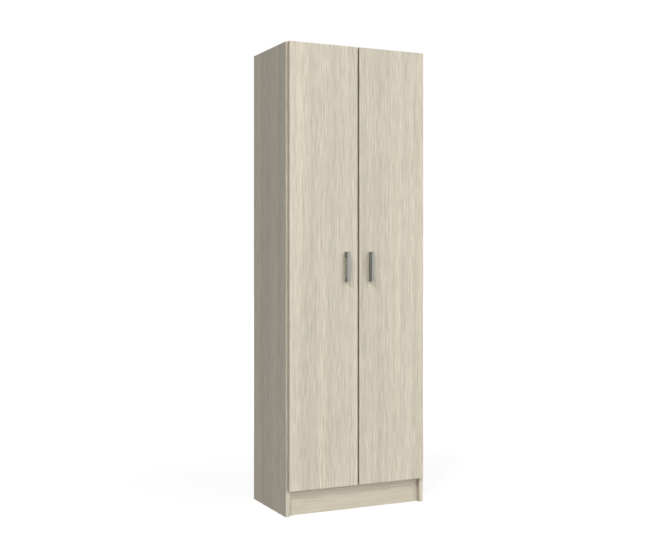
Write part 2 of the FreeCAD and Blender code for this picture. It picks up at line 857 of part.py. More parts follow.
# Fittings and doors, modelled on the left and mirrored for the right
left_pieces = {
    "hinge_plates": left_hinge_plates(),
    "hinge_plate_screws": left_plate_screws(),
    "hinge_arms": left_hinge_arms(),
    "hinge_arm_screws": left_arm_screws(),
    "hinge_arm_pins": left_arm_pins(),
    "hinge_links": left_hinge_links(),
    "hinge_cups": left_hinge_cups(),
    "hinge_cup_pins": left_cup_pins(),
    "hinge_cup_screws": left_cup_screws(),
    "door": [left_door()],
    "handle": [left_handle()],
    "handle_screws": left_handle_screws(),
    "door_bumpers": left_bumpers(),
}
for name, solids in left_pieces.items():
    write(name + "_left", solids)
    write(name + "_right", [mirrored(solid) for solid in solids])

print("overall depth", round(overall_depth, 3), "side front edge y", round(front_y, 3))
print("turn axis of the left door", round(turn_x, 3), round(turn_y, 3))
print("cup pin", round(cup_pin_x, 3), round(cup_pin_y, 3), "arm pin", arm_pin_x, round(arm_pin_y, 3))
print("link length", round(link_length, 3), "slot travel", round(link_travel, 3))
print("link turn", round(link_turn, 4), "ratio", round(link_ratio, 6))
print("hinge heights", [round(z, 2) for z in hinge_heights])
print("shelf undersides", [round(z, 2) for z in shelf_floors], "fixed", fixed_shelf_z)
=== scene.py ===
import math
import bpy
from mathutils import Matrix, Vector


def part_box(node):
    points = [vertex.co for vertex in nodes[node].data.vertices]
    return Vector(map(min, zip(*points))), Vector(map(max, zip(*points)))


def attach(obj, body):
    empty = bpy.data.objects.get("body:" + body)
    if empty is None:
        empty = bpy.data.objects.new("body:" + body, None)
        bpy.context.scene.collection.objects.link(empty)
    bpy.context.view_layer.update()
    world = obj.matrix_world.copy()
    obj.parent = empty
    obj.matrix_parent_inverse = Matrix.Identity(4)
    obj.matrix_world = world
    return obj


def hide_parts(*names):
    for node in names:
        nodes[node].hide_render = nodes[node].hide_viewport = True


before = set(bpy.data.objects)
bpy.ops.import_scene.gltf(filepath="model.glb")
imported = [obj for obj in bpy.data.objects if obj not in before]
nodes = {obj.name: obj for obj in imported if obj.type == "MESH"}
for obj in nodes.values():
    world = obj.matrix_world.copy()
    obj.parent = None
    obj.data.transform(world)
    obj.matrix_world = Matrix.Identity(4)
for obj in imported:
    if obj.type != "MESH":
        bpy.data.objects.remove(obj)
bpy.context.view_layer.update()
scene = bpy.context.scene
scene.view_settings.view_transform = "Standard"


# Camera: level, so that upright lines stay upright, left of the middle and at the
# height of the handles. Its shift brings the cabinet to its place in the picture.
camera_data = bpy.data.cameras.new("camera")
camera_data.lens = 57.2229
camera_data.sensor_width = 36
camera_data.shift_x = 0.006308
camera_data.shift_y = -0.031396
camera = bpy.data.objects.new("camera", camera_data)
camera.location = (-1.843262, -3.733434, 0.991666)
camera.rotation_euler = (math.radians(90), 0, math.radians(-25.209))
scene.collection.objects.link(camera)
scene.camera = camera


# Studio: a high lamp on the left, a broad soft one on the right, a weak one in front,
# a dim white room and a pale floor that fades into the white background.
ROOM_BRIGHTNESS = 0.06
FLOOR_SIZE = 40
FLOOR_DROP = 0.0005
FLOOR_GLOW = 1.12
FLOOR_GLOW_SHARE = 0.82
FLOOR_FADE = (0.7, 2.6)
FLOOR_LIT = (0.6, 0.6, 0.6, 1)
FLOOR_SEEN = (0.95, 0.95, 0.95, 1)
WHITE = (1, 1, 1, 1)


class Tone:
    """A shader under construction. Arithmetic on a Tone adds Math nodes to its material,
    and node() adds any other node from its type, its settings and what its sockets get."""

    def __init__(self, tree, socket=None):
        self.tree = tree
        self.socket = socket

    def node(self, kind, settings=None, inputs=None, output=0):
        made = self.tree.nodes.new("ShaderNode" + kind)
        for name, value in (settings or {}).items():
            if name == "stops":
                ramp = made.color_ramp.elements
                while len(ramp) < len(value):
                    ramp.new(0.5)
                for stop, (place, colour) in zip(ramp, value):
                    stop.position = place
                    stop.color = (*colour, 1)
            else:
                setattr(made, name, value)
        for name, value in (inputs or {}).items():
            if isinstance(value, Tone):
                self.tree.links.new(value.socket, made.inputs[name])
            else:
                made.inputs[name].default_value = value
        return Tone(self.tree, made.outputs[output])

    def out(self, name):
        return Tone(self.tree, self.socket.node.outputs[name])

    def math(self, operation, first, second=0.0):
        return self.node("Math", {"operation": operation}, {0: first, 1: second})

    def __add__(self, other):
        return self.math("ADD", self, other)

    def __sub__(self, other):
        return self.math("SUBTRACT", self, other)

    def __mul__(self, other):
        return self.math("MULTIPLY", self, other)

    def __pow__(self, other):
        return self.math("POWER", self, other)

    def __gt__(self, other):
        return self.math("GREATER_THAN", self, other)

    def __lt__(self, other):
        return self.math("LESS_THAN", self, other)

    def __rsub__(self, other):
        return self.math("SUBTRACT", other, self)

    __radd__ = __add__
    __rmul__ = __mul__


def start_finish(name):
    material = bpy.data.materials.new(name)
    material.use_nodes = True
    material.node_tree.nodes.clear()
    return material, Tone(material.node_tree)


def close_finish(tone, shader):
    output = tone.tree.nodes.new("ShaderNodeOutputMaterial")
    tone.tree.links.new(shader.socket, output.inputs[0])


def seen_directly(tone):
    """1 where the camera looks, also by way of gloss or glass, and 0 for all other light."""
    ray = tone.node("LightPath")
    mirrored = ray.out("Is Glossy Ray") + ray.out("Is Transmission Ray")
    return tone.math("MINIMUM", ray + mirrored, 1.0)


def add_sun(name, bearing, height, spread, strength):
    """A lamp far away, with its bearing from the front, its height and its spread in
    degrees. A white wall that faces it is lit to the strength."""
    data = bpy.data.lights.new(name, "SUN")
    data.angle = math.radians(spread)
    data.energy = strength * math.pi
    lamp = bpy.data.objects.new(name, data)
    lamp.rotation_euler = (math.radians(90 - height), 0, math.radians(bearing))
    scene.collection.objects.link(lamp)


add_sun("left_lamp", bearing=-43, height=39, spread=8, strength=0.415)
add_sun("right_lamp", bearing=28, height=18, spread=45, strength=0.53)
add_sun("front_lamp", bearing=-8, height=4, spread=30, strength=0.24)

world = bpy.data.worlds.new("white_room")
world.use_nodes = True
world.node_tree.nodes.clear()
room = Tone(world.node_tree)
brightness = ROOM_BRIGHTNESS + (1 - ROOM_BRIGHTNESS) * seen_directly(room)
background = room.node("Background", inputs={"Color": WHITE, "Strength": brightness})
output = world.node_tree.nodes.new("ShaderNodeOutputWorld")
world.node_tree.links.new(background.socket, output.inputs[0])
scene.world = world

bpy.ops.object.select_all(action="DESELECT")
bpy.ops.mesh.primitive_plane_add(size=FLOOR_SIZE, location=(0, 0, -FLOOR_DROP))
floor = bpy.context.object
floor.name = "floor"
material, tone = start_finish("floor_white")
seen = seen_directly(tone)
place = tone.node("TexCoord").out("Object")
away = tone.node("VectorMath", {"operation": "LENGTH"}, {0: place}, "Value")
fade = tone.node("MapRange", {"interpolation_type": "SMOOTHSTEP"}, {
    0: away, 1: FLOOR_FADE[0], 2: FLOOR_FADE[1]})
paint = tone.node("Mix", {"data_type": "RGBA"}, {0: seen, 6: FLOOR_LIT, 7: FLOOR_SEEN}, 2)
matt = tone.node("BsdfDiffuse", inputs={"Color": paint})
glow = tone.node("Emission", inputs={"Color": WHITE, "Strength": FLOOR_GLOW})
share = seen * (FLOOR_GLOW_SHARE + (1 - FLOOR_GLOW_SHARE) * fade)
close_finish(tone, tone.node("MixShader", inputs={0: share, 1: matt, 2: glow}))
floor.data.materials.append(material)


# Side panels: 16 mm chipboard with a pale ash decor, grain upright. The front edge
# is banded, the rear and lower edges and the drilled holes show the raw board.
SIDES = ("left", "right")
SIDE_FACES = ("-x", "+x", "-y", "+z")
DECOR_SKIN = 0.0004
BAND_THICKNESS = 0.0008
# Painted shade is warmer: its blue darkens this many times more.
PAINTED_SHADE_WARMTH = 1.3
DECOR_COOL = (0.612, 0.566, 0.465, 1)
DECOR_ROSY = (0.627, 0.566, 0.460, 1)
HUE_ENDS = (0.40, 0.60)
# Layers of the grain: waves per metre across and along it, roughness and start.
DRIFT = (13, 0.35, 0.5, 0.0)
BAND = (38, 0.35, 0.5, 5.0)
STREAK = (330, 2.9, 0.6, 9.0)
DASH = (430, 13.0, 0.5, 23.0)
FIBRE = (900, 9.0, 0.7, 17.0)
PORE = (1500, 46.0, 0.5, 31.0)
WANDER = (0.6, 1.1, 0.5, 43.0)
PORE_ENDS = (0.63, 0.70)
STREAK_CONTRAST = 0.42
DASH_CONTRAST = 0.64
FIBRE_CONTRAST = 0.48
FIGURE_CONTRAST = 0.06
PORE_CONTRAST = 0.08
# Dark grain is redder than pale grain, and it has less blue.
RED_SWING = 0.96
BLUE_SWING = 1.10
# Arches: rings per square metre off the middle and per metre up, and where they end,
# as squares of the distance from the middle.
ARCH_CURVE = 620.0
ARCH_PACE = 8.5
ARCH_SWAY = 0.16
ARCH_WAVER = 0.10
ARCH_RAGGED = 1.3
ARCH_SHARPNESS = 2.2
ARCH_ZONE = (0.0075, 0.0002)
CHIPS = (
    (0.00, (0.26, 0.165, 0.085)),
    (0.45, (0.47, 0.330, 0.180)),
    (1.00, (0.66, 0.510, 0.320)),
)


def decor_colours(tone, place, grain, seed, cathedral=None, banding=0.15, contrast=1.0):
    """The printed wood: its colour and its relief. The grain runs along z or x, and
    cathedral is the x of the line up which the arches of plain-sawn wood stand."""
    along = "xyz".index(grain)

    def stretched(waves_across, waves_along, roughness, shift):
        scale = [waves_across, waves_across, waves_across]
        scale[along] = waves_along
        start = (seed + shift, seed * 0.7, seed * 1.3 + shift)
        moved = tone.node("Mapping", inputs={0: place, 1: start, 3: scale})
        return tone.node("TexNoise", inputs={
            "Vector": moved, "Scale": 1.0, "Detail": 1.0, "Roughness": roughness})

    drift, band, streak, dash, fibre = (
        stretched(*layer) for layer in (DRIFT, BAND, STREAK, DASH, FIBRE))
    pores = tone.node("MapRange", inputs={
        0: stretched(*PORE), 1: PORE_ENDS[0], 2: PORE_ENDS[1]})
    if cathedral is None:
        figure = (streak - 0.5) * 0.3
    else:
        spot = tone.node("SeparateXYZ", inputs={0: place})
        side = spot - cathedral + (stretched(*WANDER) - 0.5) * ARCH_SWAY
        climb = spot.out("Z") + (band - 0.5) * ARCH_WAVER
        rings = side * side * ARCH_CURVE + climb * ARCH_PACE + (streak - 0.5) * ARCH_RAGGED
        arches = rings.math("SINE", rings * math.tau) * 0.5 + 0.5
        near = tone.node("MapRange", {"interpolation_type": "SMOOTHSTEP"}, {
            0: side * side, 1: ARCH_ZONE[0], 2: ARCH_ZONE[1]})
        figure = arches ** ARCH_SHARPNESS * near * (0.25 + drift * 0.7)
    hue = tone.node("MapRange", inputs={
        0: drift * 0.55 + band * 0.45, 1: HUE_ENDS[0], 2: HUE_ENDS[1]})
    ground = tone.node("Mix", {"data_type": "RGBA"}, {0: hue, 6: DECOR_COOL, 7: DECOR_ROSY}, 2)
    light = 1.00 + contrast * (
        (drift + band - 1.0) * banding
        + (streak - 0.5) * STREAK_CONTRAST
        + (dash - 0.5) * DASH_CONTRAST
        + (fibre - 0.5) * FIBRE_CONTRAST
        - figure * FIGURE_CONTRAST
        - pores * PORE_CONTRAST
    )
    shade = tone.node("CombineXYZ", inputs={
        0: light * RED_SWING + (1 - RED_SWING), 1: light,
        2: light * BLUE_SWING + (1 - BLUE_SWING)})
    colour = tone.node("VectorMath", {"operation": "MULTIPLY"}, {0: ground, 1: shade})
    relief = fibre * 0.5 - pores * 0.8 + streak * 0.3
    return colour, relief


def chipboard_colours(tone, place, seed):
    """The raw board in cuts and drilled holes: glued flakes, with crumbs between them."""
    moved = tone.node("Mapping", inputs={0: place, 1: (seed, seed, 0)})
    flake = tone.node("TexVoronoi", inputs={"Vector": moved, "Scale": 520.0}, output="Color")
    pick = tone.node("SeparateXYZ", inputs={0: flake})
    crumb = tone.node("TexNoise", inputs={"Vector": moved, "Scale": 900.0, "Detail": 3.0})
    colour = tone.node("ValToRGB", {"stops": CHIPS}, {0: pick * 0.75 + crumb * 0.3})
    return colour, crumb * 1.2 + pick * 0.6


def put_on(pieces, material):
    """Gives the material to CAD nodes, by their names, or to modelled pieces."""
    for piece in pieces:
        mesh = (nodes[piece] if isinstance(piece, str) else piece).data
        mesh.materials.clear()
        mesh.materials.append(material)


def finish_board(
    name, grain, covered, seed, cathedral=None, banding=0.15, contrast=1.0, level=1.0,
    shaded_faces=(), gap_shade=0.0,
):
    """Decor over every covered face; the raw board shows wherever a point lies deeper.
    The faces named for shade are painted darker and a little warmer, as painted shade; a level
    below 1 paints the whole board darker, also as painted shade."""
    low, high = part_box(name)
    material, tone = start_finish(name + "_decor")
    place = tone.node("TexCoord").out("Object")
    colour, relief = decor_colours(tone, place, grain, seed, cathedral, banding, contrast)
    raw, crumble = chipboard_colours(tone, place, seed)
    spot = tone.node("SeparateXYZ", inputs={0: place})
    parts = (spot, spot.out("Y"), spot.out("Z"))

    def deeper(faces, skin):
        deep = 1.0
        for end, letter in faces:
            axis = "xyz".index(letter)
            if end == "-":
                past = parts[axis] > low[axis] + skin
            else:
                past = parts[axis] < high[axis] - skin
            deep = past * deep
        return deep

    inside = deeper(covered, DECOR_SKIN)
    if shaded_faces or level != 1.0:
        # Painted shade: the named faces get darker, warmer colour, standing for the shade in
        # the gap between the doors.
        in_painted_shade = 1 - deeper(shaded_faces, BAND_THICKNESS) if shaded_faces else 0.0
        # Painted shade: a level below 1 darkens the whole board's colour.
        dim = level - in_painted_shade * gap_shade
        shade_blue = level - in_painted_shade * (gap_shade * PAINTED_SHADE_WARMTH)
        dimming = tone.node("CombineXYZ", inputs={0: dim, 1: dim, 2: shade_blue})
        colour = tone.node("VectorMath", {"operation": "MULTIPLY"}, {0: colour, 1: dimming})
    surface = tone.node("Mix", {"data_type": "RGBA"}, {0: inside, 6: colour, 7: raw}, 2)
    height = relief * (1 - inside) + crumble * inside * 3.0
    bump = tone.node("Bump", inputs={"Strength": 0.35, "Distance": 0.00012, "Height": height})
    close_finish(tone, tone.node("BsdfPrincipled", inputs={
        "Base Color": surface,
        "Roughness": 0.46 + (relief - 0.4) * 0.10 + inside * 0.38,
        "Specular IOR Level": 0.09,
        "Normal": bump,
    }))
    put_on([name], material)


for side, seed in zip(SIDES, (3.1, 8.7)):
    finish_board("side_panel_" + side, "z", SIDE_FACES, seed, banding=0.26)


# Top, bottom and fixed middle shelf: the same board, grain across, held to the sides
# by cam fittings and dowels. Only the front edge is banded.
SHELF_FACES = ("-z", "+z", "-y")
for number, name in enumerate(("top_panel", "fixed_shelf", "bottom_panel")):
    finish_board(name, "x", SHELF_FACES, seed=12.3 + 3.7 * number)


# Plinth board: a strip of the same board on edge, set back under the doors, grain
# across, dowelled between the sides. Its colour is painted a little darker all over, as
# painted shade for the shade under the doors, and its grain is fainter.
finish_board(
    "plinth_board", "x", ("-y", "+y", "+z"), seed=27.9, banding=0.07, contrast=0.62,
    level=0.90,
)


# Loose shelves: the same board again, cut narrower, with a banded front edge. Each
# lies on four shelf pins and can be lifted out.
for number in range(1, 5):
    finish_board("loose_shelf_%d" % number, "x", SHELF_FACES, seed=31.3 + 2.9 * number)


# Doors: the same board, banded on all four edges, grain upright, with the arched
# figure of plain-sawn ash up the middle. Drilled for the hinge cups and handles.
# The closing edges are painted darker, as painted shade in the gap between the doors.
DOOR_FACES = ("-x", "+x", "-y", "+y", "-z", "+z")
FIGURE_OFF_MIDDLE = -0.012
for side, seed, closing_edge in (("left", 41.7, "+x"), ("right", 46.2, "-x")):
    low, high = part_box("door_" + side)
    finish_board(
        "door_" + side, "z", DOOR_FACES, seed,
        cathedral=(low.x + high.x) / 2 + FIGURE_OFF_MIDDLE, banding=0.25,
        shaded_faces=(closing_edge,), gap_shade=0.22,
    )


# Back panels: two sheets of 3 mm hardboard, lacquered pale on the inside and left
# brown outside, with the print of the press screen. Nailed to the rear edges.
SCREEN_WIRES = 900
HARDBOARD = (
    (0.25, (0.205, 0.120, 0.062)),
    (0.55, (0.315, 0.197, 0.108)),
    (0.80, (0.430, 0.290, 0.172)),
)


def finish_hardboard(name, seed):
    low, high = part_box(name)
    material, tone = start_finish(name + "_hardboard")
    place = tone.node("TexCoord").out("Object")
    spot = tone.node("SeparateXYZ", inputs={0: place})
    outer = spot.out("Y") > low.y + DECOR_SKIN
    pulp = tone.node("TexNoise", inputs={
        "Vector": place, "Scale": 260.0, "Detail": 5.0, "Roughness": 0.7})
    cloud = tone.node("TexNoise", inputs={"Vector": place, "Scale": 5.0 + seed, "Detail": 3.0})
    wires = tone.node("Mapping", inputs={0: place, 3: (SCREEN_WIRES,) * 3})
    screen = tone.node("TexChecker", inputs={"Vector": wires, "Scale": 1.0}, output="Fac")
    brown = tone.node("ValToRGB", {"stops": HARDBOARD}, {0: pulp * 0.75 + cloud * 0.30})
    lacquer, relief = decor_colours(tone, place, "z", seed * 10)
    surface = tone.node("Mix", {"data_type": "RGBA"}, {0: outer, 6: lacquer, 7: brown}, 2)
    height = relief * (1 - outer) + outer * (pulp * 1.4 + screen * 0.5)
    bump = tone.node("Bump", inputs={"Strength": 0.4, "Distance": 0.0002, "Height": height})
    close_finish(tone, tone.node("BsdfPrincipled", inputs={
        "Base Color": surface,
        "Roughness": 0.50 + outer * 0.28,
        "Specular IOR Level": 0.3,
        "Normal": bump,
    }))
    put_on([name], material)


finish_hardboard("back_panel_lower", 1.3)
finish_hardboard("back_panel_upper", 2.1)


# Handles: matt grey cast metal with a front that slopes back towards the hinges, each
# held by two screws through the door. The sides are painted darker than the front, as painted
# shade.
HANDLE_FRONT_SLOPE = 0.4
HANDLE_FRONT_THICKNESS = 0.004
HANDLE_WALL = 0.003
HANDLE_FOOT = 0.016
HANDLE_HOLES_APART = 0.096
HANDLE_HOLE_RADIUS = 0.00205
HANDLE_HOLE_DEPTH = 0.009
HANDLE_ROUNDING = 0.0015
GAP_EDGE_ROUNDING = HANDLE_ROUNDING * 1.54
HINGE_EDGE_ROUNDING = HANDLE_ROUNDING * 0.68
END_ROUNDING = 0.003
HOLLOW_ROUNDING = 0.0035
BROKEN_EDGE = 0.00035
CUTTER_MARGIN = 0.001
# Painted shade on the handle's sides: where it starts and ends behind the front, and how much
# darker.
SIDE_SHADE_ENDS = (0.0011, 0.0028)
SIDE_PAINTED_SHADE = 0.36
BRUSH_ACROSS = 1600
BRUSH_ALONG = 60
SHARP = math.radians(40)
SMOOTH = math.radians(35)
TOUCHING = 1e-5


def finish_metal(
    pieces, label, colour, metallic, roughness, brushed, along="z", specular=0.5, front=None,
):
    """A metal or paint with fine brush marks, cloudy wear and grit. Where front gives the
    y at which the sloping front would cross the middle, all that lies behind is painted darker,
    as painted shade."""
    material, tone = start_finish(label)
    place = tone.node("TexCoord").out("Object")
    stretch = [BRUSH_ACROSS, BRUSH_ACROSS, BRUSH_ACROSS]
    stretch["xyz".index(along)] = BRUSH_ALONG
    moved = tone.node("Mapping", inputs={0: place, 3: stretch})
    hair = tone.node("TexNoise", inputs={
        "Vector": moved, "Scale": 1.0, "Detail": 2.0, "Roughness": 0.6})
    cloud = tone.node("TexNoise", inputs={
        "Vector": place, "Scale": 70.0, "Detail": 4.0, "Roughness": 0.6})
    grit = tone.node("TexNoise", inputs={"Vector": place, "Scale": 2600.0, "Detail": 1.0})
    tint = 1.0 + (cloud - 0.5) * 0.12 + (hair - 0.5) * 0.10 * brushed
    # Painted shade: all that lies behind the sloping front is darker.
    if front is not None:
        spot = tone.node("SeparateXYZ", inputs={0: place})
        level = spot.out("Y") - spot.math("ABSOLUTE", spot) * HANDLE_FRONT_SLOPE
        behind = tone.node("MapRange", {"interpolation_type": "SMOOTHSTEP"}, {
            0: level, 1: front + SIDE_SHADE_ENDS[0], 2: front + SIDE_SHADE_ENDS[1]})
        tint = tint * (1 - behind * SIDE_PAINTED_SHADE)
    shade = tone.node("CombineXYZ", inputs={0: tint, 1: tint, 2: tint})
    surface = tone.node("VectorMath", {"operation": "MULTIPLY"}, {0: shade, 1: colour})
    height = hair * brushed + grit * (1.2 - brushed) + cloud * 0.4
    bump = tone.node("Bump", inputs={"Strength": 0.25, "Distance": 0.00005, "Height": height})
    close_finish(tone, tone.node("BsdfPrincipled", inputs={
        "Base Color": surface,
        "Metallic": metallic,
        "Roughness": roughness + (cloud - 0.5) * 0.16 + (hair - 0.5) * 0.10 * brushed,
        "Specular IOR Level": specular,
        "Normal": bump,
    }))
    put_on(pieces, material)


def add_block(name, low, high):
    """A block between two corners."""
    bpy.ops.object.select_all(action="DESELECT")
    bpy.ops.mesh.primitive_cube_add(size=1, location=(low + high) / 2)
    block = bpy.context.object
    block.name = name
    block.scale = high - low
    bpy.ops.object.transform_apply(location=True, rotation=True, scale=True)
    return block


def add_rod(name, middle, radius, length, sides=32, turned=(0, 0, 0)):
    """A round bar along z, unless it is turned."""
    bpy.ops.object.select_all(action="DESELECT")
    bpy.ops.mesh.primitive_cylinder_add(
        vertices=sides, radius=radius, depth=length, location=middle, rotation=turned)
    bar = bpy.context.object
    bar.name = name
    bpy.ops.object.transform_apply(location=True, rotation=True, scale=True)
    return bar


def choose(piece, kind, test):
    """Selects the edges or faces whose corners pass the test, in edit mode."""
    bpy.ops.object.mode_set(mode="EDIT")
    bpy.ops.mesh.select_mode(type=kind)
    bpy.ops.mesh.select_all(action="DESELECT")
    bpy.ops.object.mode_set(mode="OBJECT")
    points = piece.data.vertices
    for part in piece.data.edges if kind == "EDGE" else piece.data.polygons:
        part.select = test([points[number].co for number in part.vertices])
    bpy.ops.object.mode_set(mode="EDIT")


def slice_off(piece, point, outward):
    """Saws the piece along a plane and closes the cut."""
    choose(piece, "FACE", lambda corners: True)
    bpy.ops.mesh.bisect(plane_co=point, plane_no=outward, use_fill=True, clear_outer=True)
    bpy.ops.object.mode_set(mode="OBJECT")


def round_off(piece, letter, place, behind, width, segments):
    """Rounds the edges that lie at a place along an axis and wholly in front of behind."""
    axis = "xyz".index(letter)
    choose(piece, "EDGE", lambda corners: all(
        abs(corner[axis] - place) < TOUCHING and corner.y < behind for corner in corners))
    bpy.ops.mesh.bevel(offset=width, segments=segments, affect="EDGES")
    bpy.ops.object.mode_set(mode="OBJECT")


def cut_away(piece, cutter):
    """Cuts the cutter's shape out of the piece."""
    cut = piece.modifiers.new("cut", "BOOLEAN")
    cut.operation = "DIFFERENCE"
    cut.object = cutter
    bpy.context.view_layer.objects.active = piece
    bpy.ops.object.modifier_apply(modifier=cut.name)
    bpy.data.objects.remove(cutter)


def soften(piece, width, segments):
    """Breaks the edges that are still sharp and shades the rest smooth."""
    bpy.ops.object.select_all(action="DESELECT")
    piece.select_set(True)
    bpy.context.view_layer.objects.active = piece
    edges = piece.modifiers.new("edges", "BEVEL")
    edges.width = width
    edges.segments = segments
    edges.limit_method = "ANGLE"
    edges.angle_limit = SHARP
    bpy.ops.object.modifier_apply(modifier=edges.name)
    bpy.ops.object.shade_smooth_by_angle(angle=SMOOTH)


def place_copy(piece, name, matrix):
    """A copy with its own mesh, moved or mirrored in that mesh."""
    copy = piece.copy()
    copy.data = piece.data.copy()
    copy.name = copy.data.name = name
    copy.data.transform(matrix)
    scene.collection.objects.link(copy)
    if matrix.determinant() < 0:
        bpy.ops.object.select_all(action="DESELECT")
        bpy.context.view_layer.objects.active = copy
        choose(copy, "FACE", lambda corners: True)
        bpy.ops.mesh.normals_make_consistent(inside=False)
        bpy.ops.object.mode_set(mode="OBJECT")
    return copy


def model_handle(name, low, high):
    """The left handle: a block with a sloping front, rounded all round and hollowed out
    from the hinge side, so that a wall is left towards the gap and a foot at each end."""
    middle = (low + high) / 2
    outward = (-HANDLE_FRONT_SLOPE, -1, 0)
    steepness = math.hypot(HANDLE_FRONT_SLOPE, 1)
    past_front = HANDLE_ROUNDING * (HANDLE_FRONT_SLOPE + steepness - 1)
    tip = Vector((high.x, low.y - past_front, 0))
    handle = add_block(name, Vector((low.x, tip.y, low.z)), high)
    slice_off(handle, tip, outward)
    for end in (low.z, high.z):
        round_off(handle, "z", end, middle.y, END_ROUNDING, 6)
    round_off(handle, "x", high.x, middle.y, GAP_EDGE_ROUNDING, 5)
    round_off(handle, "x", low.x, middle.y, HINGE_EDGE_ROUNDING, 5)

    hollow_ends = (low.z + HANDLE_FOOT, high.z - HANDLE_FOOT)
    hollow = add_block(
        "hollow", Vector((low.x - CUTTER_MARGIN, tip.y, hollow_ends[0])),
        Vector((high.x - HANDLE_WALL, high.y + CUTTER_MARGIN, hollow_ends[1])))
    slice_off(hollow, tip + Vector((0, HANDLE_FRONT_THICKNESS, 0)), outward)
    for end in hollow_ends:
        round_off(hollow, "z", end, middle.y, HOLLOW_ROUNDING, 5)
    cut_away(handle, hollow)

    for up in (-HANDLE_HOLES_APART / 2, HANDLE_HOLES_APART / 2):
        cut_away(handle, add_rod(
            "hole", (middle.x, high.y, middle.z + up), HANDLE_HOLE_RADIUS,
            HANDLE_HOLE_DEPTH * 2, sides=20, turned=(math.radians(90), 0, 0)))
    soften(handle, BROKEN_EDGE, 2)
    return handle


low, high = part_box("handle_left")
left_handle = model_handle("cast_handle_left", low, high)
right_handle = place_copy(left_handle, "cast_handle_right", Matrix.Scale(-1, 4, (1, 0, 0)))
finish_metal(
    (left_handle, right_handle), "handle_grey_metal", (0.385, 0.38, 0.355),
    metallic=0.0, roughness=0.58, brushed=0.3, specular=0.10,
    front=low.y + high.x * HANDLE_FRONT_SLOPE,
)
for side, piece in (("left", left_handle), ("right", right_handle)):
    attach(piece, side + "_door")
    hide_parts("handle_" + side)


# Cup hinges: pressed nickel-plated steel, four on each door. The cup is pressed into
# the door, the arm screwed to a plate on the side panel, and a link joins the two.
finish_metal(
    ["hinge_cups_" + side for side in SIDES], "hinge_cup_nickel", (0.60, 0.59, 0.56),
    metallic=1.0, roughness=0.26, brushed=0.2)
finish_metal(
    ["hinge_arms_" + side for side in SIDES], "hinge_arm_nickel", (0.62, 0.61, 0.58),
    metallic=1.0, roughness=0.24, brushed=0.3, along="y")
finish_metal(
    ["hinge_plates_" + side for side in SIDES], "hinge_plate_nickel", (0.58, 0.57, 0.55),
    metallic=1.0, roughness=0.32, brushed=0.2)
finish_metal(
    ["hinge_links_" + side for side in SIDES], "hinge_link_nickel", (0.55, 0.54, 0.52),
    metallic=1.0, roughness=0.30, brushed=0.5)
finish_metal(
    ["hinge_%s_pins_%s" % (end, side) for end in ("cup", "arm") for side in SIDES],
    "hinge_pin_steel", (0.50, 0.50, 0.50), metallic=1.0, roughness=0.22, brushed=0.6)


# Screws: zinc-plated pan heads with a cross recess, rolled thread and a blunt point. One
# of each size is modelled, then set in its seats, each turned as far as it happened to go.
# A size is the radius and height of the head, then the radius and length of the shank.
CUP_SCREW = (0.0034, 0.0012, 0.00172, 0.0115)
PLATE_SCREW = (0.0040, 0.0014, 0.00215, 0.0125)
ARM_SCREW = (0.0036, 0.0012, 0.00185, 0.0068)
HANDLE_SCREW = (0.0040, 0.0024, 0.00190, 0.0235)
BRACKET_SCREW = (0.0038, 0.0016, 0.00185, 0.0125)
THREAD_PITCH = 0.0018
THREAD_WAIST = 0.76
LEAST_TIP = 0.002
TIP_TAPER = 0.35
HEAD_DOME = 0.7
RECESS_LENGTH = 0.66
RECESS_WIDTH = 0.15
RECESS_DEPTH = 0.8
RECESS_TAPER = (0.5, 0.6, 1)
HEADS_APART = 0.009
FIRST_TURN = 37
NEXT_TURN = 137.5
BACKWARDS = Vector((0, 1, 0))
DOWNWARDS = Vector((0, 0, -1))
INWARDS = {"left": Vector((1, 0, 0)), "right": Vector((-1, 0, 0))}


def model_screw(head_radius, head_height, shank_radius, shank_length):
    """Stands on its seat at the origin, with its head up and its shank down."""
    screw = add_rod("screw", (0, 0, head_height / 2), head_radius, head_height)
    choose(screw, "FACE", lambda corners: all(c.z > head_height - TOUCHING for c in corners))
    bpy.ops.mesh.bevel(offset=head_height * HEAD_DOME, segments=5, affect="EDGES")
    choose(screw, "FACE", lambda corners: all(c.z < TOUCHING for c in corners))
    bpy.ops.mesh.inset(thickness=head_radius - shank_radius)
    turns = int((shank_length - LEAST_TIP) / THREAD_PITCH)
    for waist in (THREAD_WAIST, 1 / THREAD_WAIST) * turns:
        bpy.ops.mesh.extrude_region_move(
            TRANSFORM_OT_translate={"value": (0, 0, -THREAD_PITCH / 2)})
        bpy.ops.transform.resize(value=(waist, waist, 1))
    tip = shank_length - turns * THREAD_PITCH
    bpy.ops.mesh.extrude_region_move(TRANSFORM_OT_translate={"value": (0, 0, -tip)})
    bpy.ops.transform.resize(value=(TIP_TAPER, TIP_TAPER, 1))
    bpy.ops.object.mode_set(mode="OBJECT")

    corner = Vector((
        head_radius * RECESS_LENGTH, head_radius * RECESS_WIDTH, head_height * RECESS_DEPTH))
    for degrees in (0, 90):
        blade = add_block("blade", -corner, corner)
        choose(blade, "FACE", lambda corners: all(c.z < 0 for c in corners))
        bpy.ops.transform.resize(value=RECESS_TAPER)
        bpy.ops.object.mode_set(mode="OBJECT")
        turned = Matrix.Rotation(math.radians(degrees), 4, "Z")
        blade.data.transform(Matrix.Translation((0, 0, head_height)) @ turned)
        cut_away(screw, blade)
    bpy.ops.object.select_all(action="DESELECT")
    screw.select_set(True)
    bpy.ops.object.shade_smooth_by_angle(angle=SMOOTH)
    return screw


